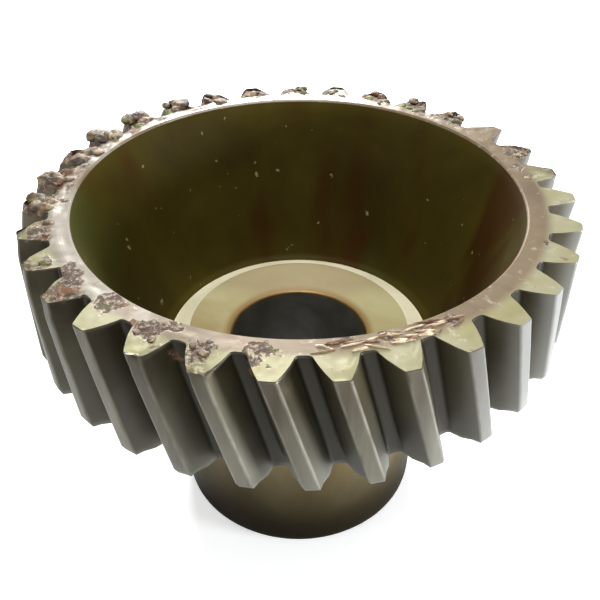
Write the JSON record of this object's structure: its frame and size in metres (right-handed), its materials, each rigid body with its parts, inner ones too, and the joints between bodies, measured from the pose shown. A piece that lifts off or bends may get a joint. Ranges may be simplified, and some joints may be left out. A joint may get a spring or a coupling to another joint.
{
  "type": "helical gear",
  "caption": "Cup-shaped left-hand helical gear: a thin toothed rim around a tapered open cup, with a bevelled boss at its foot and a long bored hub below.",
  "frame": {"origin": "centre of the hub's flat end face, where the gear stands", "axes": "+Z along the bore, from the hub's end up to the open toothed rim; +X through the middle of one tooth at the rim face"},
  "size_m": [0.2022, 0.2022, 0.1425],
  "materials": {
    "gear_steel": "machined and worn, oiled, rust and dirt on the rim face"
  },
  "bodies": {
    "root": {"helical_gear": "gear_steel"}
  },
  "joints": []
}
